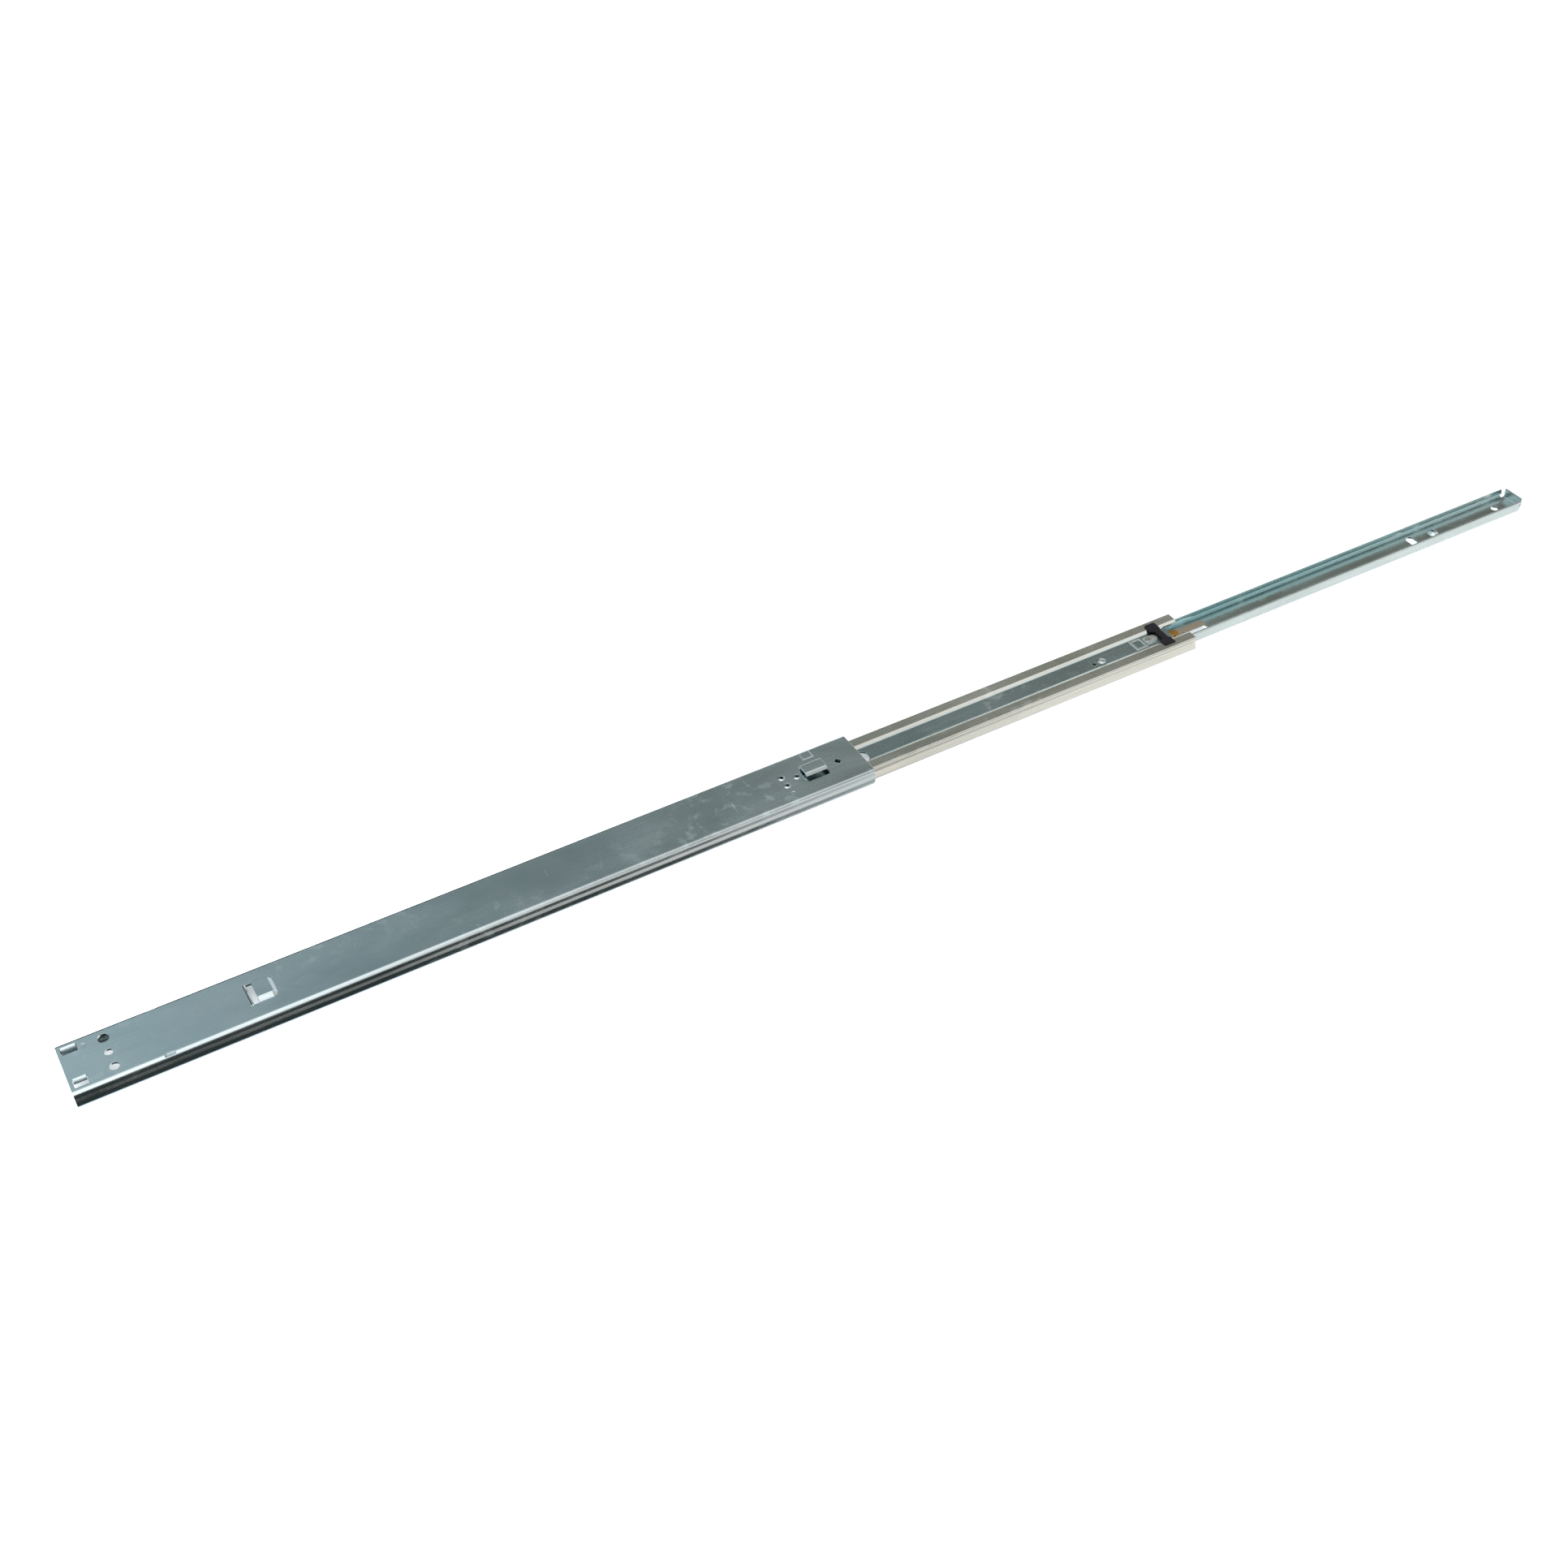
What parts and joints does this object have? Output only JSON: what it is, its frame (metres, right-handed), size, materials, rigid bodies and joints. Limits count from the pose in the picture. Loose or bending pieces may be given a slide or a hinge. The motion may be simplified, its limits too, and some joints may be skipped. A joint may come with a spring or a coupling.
{
  "type": "drawer slide",
  "caption": "Full-extension ball-bearing drawer slide: cabinet channel with bayonet hooks, middle channel and drawer channel with a release lever, shown pulled out.",
  "frame": {"origin": "centre of the cabinet member's mounting face", "axes": "+X the pull-out direction, +Z out of the mounting face towards the cabinet side (up as the slide lies on a table), +Y across the slide"},
  "size_m": [1.1711, 0.0456, 0.0163],
  "materials": {
    "zinc_cabinet": "bright blue-passivated zinc plate",
    "zinc_middle": "bright zinc plate, slightly warm",
    "zinc_drawer": "bright blue-passivated zinc plate",
    "cage_steel": "plain zinc plate",
    "ball_steel": "polished",
    "rivet_steel": "zinc plate",
    "plate_steel": "bright zinc plate",
    "lever_steel": "pale yellow-passivated steel",
    "pivot_brass": "satin",
    "black_plastic": "fine moulded grain",
    "bumper_rubber": "matt"
  },
  "bodies": {
    "cabinet_member": {"cabinet_channel": "zinc_cabinet"},
    "outer_cages": {"outer_cage_upper": "cage_steel", "outer_balls_upper": "ball_steel", "outer_cage_lower": "cage_steel", "outer_balls_lower": "ball_steel"},
    "middle_member": {"middle_channel": "zinc_middle", "rear_bumper": "bumper_rubber", "guide_plate": "plate_steel", "guide_rivet": "rivet_steel", "plastic_guide": "black_plastic"},
    "inner_cages": {"inner_cage_upper": "cage_steel", "inner_balls_upper": "ball_steel", "inner_cage_lower": "cage_steel", "inner_balls_lower": "ball_steel"},
    "drawer_member": {"drawer_channel": "zinc_drawer", "lever_pivot": "pivot_brass", "lever_spring": "rivet_steel"},
    "lever": {"release_lever": "lever_steel"}
  },
  "joints": [
    {"name": "middle_slide", "type": "slide", "parent": "cabinet_member", "child": "middle_member", "axis": [1, 0, 0], "range_m": [-0.2834, 0]},
    {"name": "outer_cage_slide", "type": "slide", "parent": "cabinet_member", "child": "outer_cages", "axis": [1, 0, 0], "range_m": [-0.1417, 0]},
    {"name": "drawer_slide", "type": "slide", "parent": "middle_member", "child": "drawer_member", "axis": [1, 0, 0], "range_m": [-0.3278, 0]},
    {"name": "inner_cage_slide", "type": "slide", "parent": "middle_member", "child": "inner_cages", "axis": [1, 0, 0], "range_m": [-0.1639, 0]},
    {"name": "lever_turn", "type": "hinge", "parent": "drawer_member", "child": "lever", "pos_m": [0.5525, 0, -0.0079], "axis": [0, 0, 1], "range_deg": [0, 12], "stiffness_Nm_per_rad": 0.02, "springref_deg": -5.73}
  ],
  "couplings": [
    {"joint": "outer_cage_slide", "follows": "middle_slide", "ratio": 0.5},
    {"joint": "inner_cage_slide", "follows": "drawer_slide", "ratio": 0.5}
  ]
}
